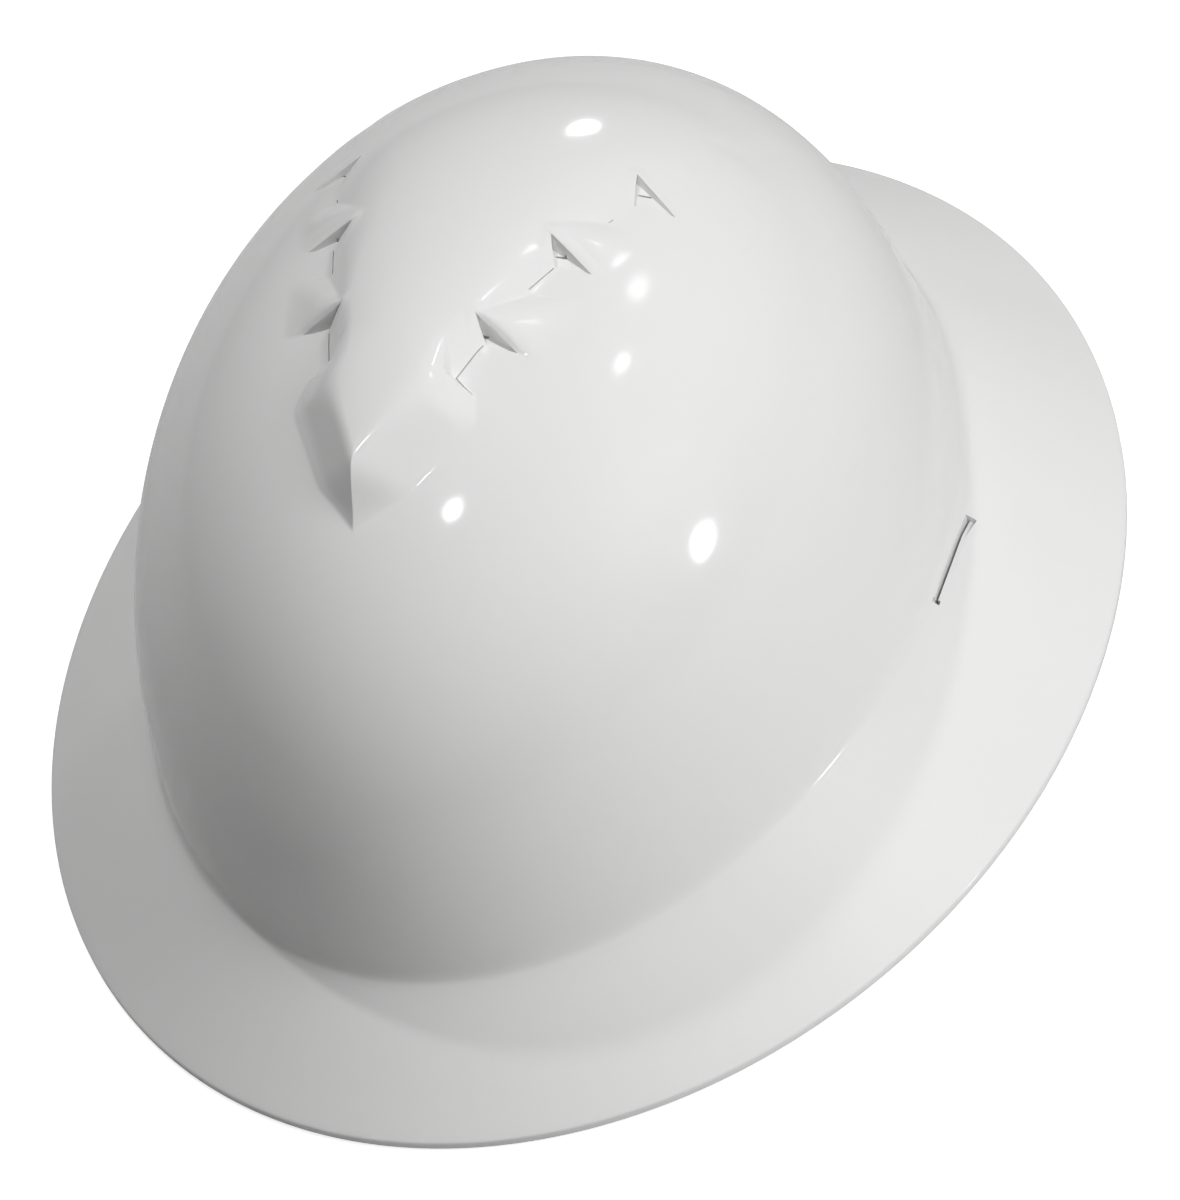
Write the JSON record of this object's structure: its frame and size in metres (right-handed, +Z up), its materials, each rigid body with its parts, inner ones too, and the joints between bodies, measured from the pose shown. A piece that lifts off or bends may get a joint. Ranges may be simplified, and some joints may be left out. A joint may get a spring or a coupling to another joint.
{
  "type": "full brim hard hat",
  "caption": "Full brim hard hat with a raised vented crest, side accessory slots, strap crown suspension, headband and ratchet nape strap that swings and changes size.",
  "frame": {"origin": "centre of the brim, on the plane that the rim stands on", "axes": "+Z up, -Y towards the front of the hat, +X towards the wearer's left"},
  "size_m": [0.279, 0.342, 0.1478],
  "materials": {
    "shell": "gloss moulded",
    "webbing": "woven",
    "pad": "soft matt",
    "key": "fine grained",
    "band": "fine grained",
    "pin": "satin",
    "ratchet": "fine grained",
    "knob": "satin",
    "grip": "matt ribbed",
    "steel": "zinc plated"
  },
  "bodies": {
    "hat": {"shell": "shell", "crown_strap_left": "webbing", "crown_strap_right": "webbing", "crown_pad": "pad", "key_front_left": "key", "key_front_right": "key", "key_rear_left": "key", "key_rear_right": "key", "headband": "band", "brow_pad": "pad", "temple_pin_left": "pin", "temple_pin_right": "pin"},
    "nape_strap": {"temple_link_left": "band", "temple_link_right": "band"},
    "arm_left": {"nape_arm_left": "band"},
    "arm_right": {"nape_arm_right": "band"},
    "ratchet": {"ratchet_housing": "ratchet", "ratchet_cover": "ratchet", "detent_spring": "steel", "nape_pad": "pad"},
    "knob": {"ratchet_pinion": "pin", "ratchet_knob": "knob", "knob_grip": "grip", "knob_screw": "steel"}
  },
  "joints": [
    {"name": "nape_swing", "type": "hinge", "parent": "hat", "child": "nape_strap", "pos_m": [0, -0.014, 0.027], "axis": [-1, 0, 0], "range_deg": [0, 16]},
    {"name": "size_slide", "type": "slide", "parent": "nape_strap", "child": "ratchet", "axis": [0, 1, 0], "range_m": [-0.0141, 0.0141]},
    {"name": "arm_left_turn", "type": "hinge", "parent": "nape_strap", "child": "arm_left", "pos_m": [0.081, 0, 0.022], "axis": [0, 0, 1], "range_deg": [-10.5, 10.5]},
    {"name": "arm_right_turn", "type": "hinge", "parent": "nape_strap", "child": "arm_right", "pos_m": [-0.081, 0, 0.022], "axis": [0, 0, 1], "range_deg": [-10.5, 10.5]},
    {"name": "knob_turn", "type": "hinge", "parent": "ratchet", "child": "knob", "pos_m": [0, 0.081, 0.022], "axis": [0, 1, 0], "range_deg": [-190, 190]}
  ],
  "couplings": [
    {"joint": "arm_left_turn", "follows": "size_slide", "rad_per_m": -12.346},
    {"joint": "arm_right_turn", "follows": "size_slide", "rad_per_m": 12.346},
    {"joint": "knob_turn", "follows": "size_slide", "rad_per_m": 232.71}
  ]
}
